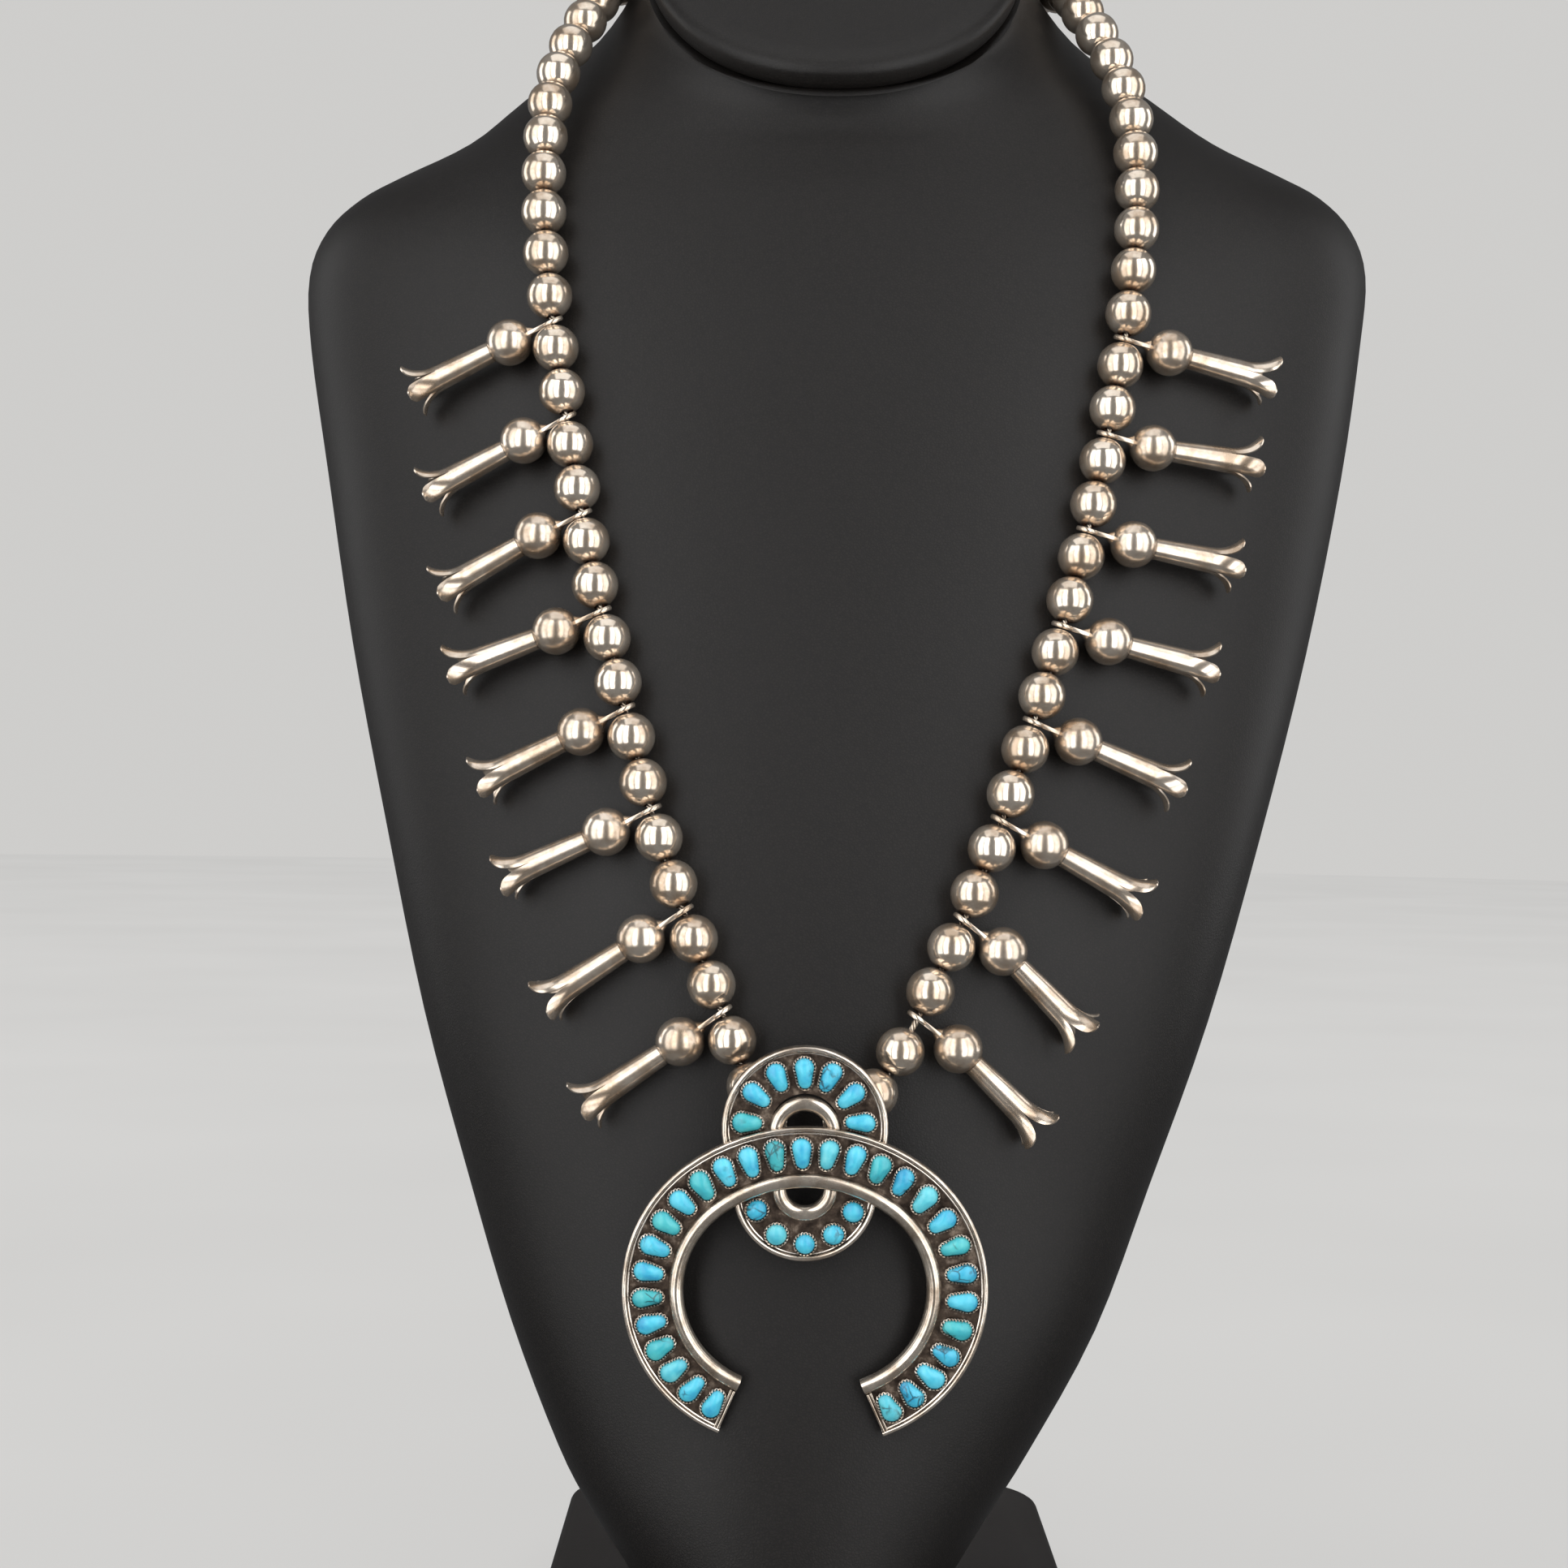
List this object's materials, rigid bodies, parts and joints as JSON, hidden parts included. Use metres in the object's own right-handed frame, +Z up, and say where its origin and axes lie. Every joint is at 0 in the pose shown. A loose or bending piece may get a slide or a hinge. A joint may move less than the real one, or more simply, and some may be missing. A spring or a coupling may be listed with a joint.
{
  "type": "squash blossom necklace on a neck bust",
  "caption": "Silver bead necklace with squash blossom pendants each side and a turquoise set crescent naja, hung round a black leatherette neck display bust on a flat base",
  "frame": {"origin": "the middle of the base plate's underside, on the table", "axes": "+Z up; -Y is the bust's front, from which the naja is seen; +X is to the right of a viewer in front"},
  "size_m": [0.2444, 0.1803, 0.4431],
  "materials": {
    "silver": "warm aged sterling silver, polished on the high places and dark in the recesses",
    "turquoise": "polished sky blue stone with a few dark veins",
    "leatherette": "black fine grained leatherette with a soft sheen"
  },
  "bodies": {
    "root": {"blossom_left_1": "silver", "blossom_left_2": "silver", "blossom_left_3": "silver", "blossom_left_4": "silver", "blossom_left_5": "silver", "blossom_left_6": "silver", "blossom_left_7": "silver", "blossom_left_8": "silver", "blossom_right_1": "silver", "blossom_right_2": "silver", "blossom_right_3": "silver", "blossom_right_4": "silver", "blossom_right_5": "silver", "blossom_right_6": "silver", "blossom_right_7": "silver", "blossom_right_8": "silver", "crescent_stone_01": "turquoise", "crescent_stone_02": "turquoise", "crescent_stone_03": "turquoise", "crescent_stone_04": "turquoise", "crescent_stone_05": "turquoise", "crescent_stone_06": "turquoise", "crescent_stone_07": "turquoise", "crescent_stone_08": "turquoise", "crescent_stone_09": "turquoise", "crescent_stone_10": "turquoise", "crescent_stone_11": "turquoise", "crescent_stone_12": "turquoise", "crescent_stone_13": "turquoise", "crescent_stone_14": "turquoise", "crescent_stone_15": "turquoise", "crescent_stone_16": "turquoise", "crescent_stone_17": "turquoise", "crescent_stone_18": "turquoise", "crescent_stone_19": "turquoise", "crescent_stone_20": "turquoise", "crescent_stone_21": "turquoise", "crescent_stone_22": "turquoise", "crescent_stone_23": "turquoise", "crescent_stone_24": "turquoise", "crescent_stone_25": "turquoise", "crescent_stone_26": "turquoise", "crescent_stone_27": "turquoise", "crescent_stone_28": "turquoise", "crescent_stone_29": "turquoise", "ring_stones": "turquoise", "naja": "silver", "beads_left": "silver", "beads_right": "silver", "foxtail_chain": "silver", "clasp": "silver", "bust_body": "leatherette", "neck_cap": "leatherette", "base_plate": "leatherette"}
  },
  "joints": []
}
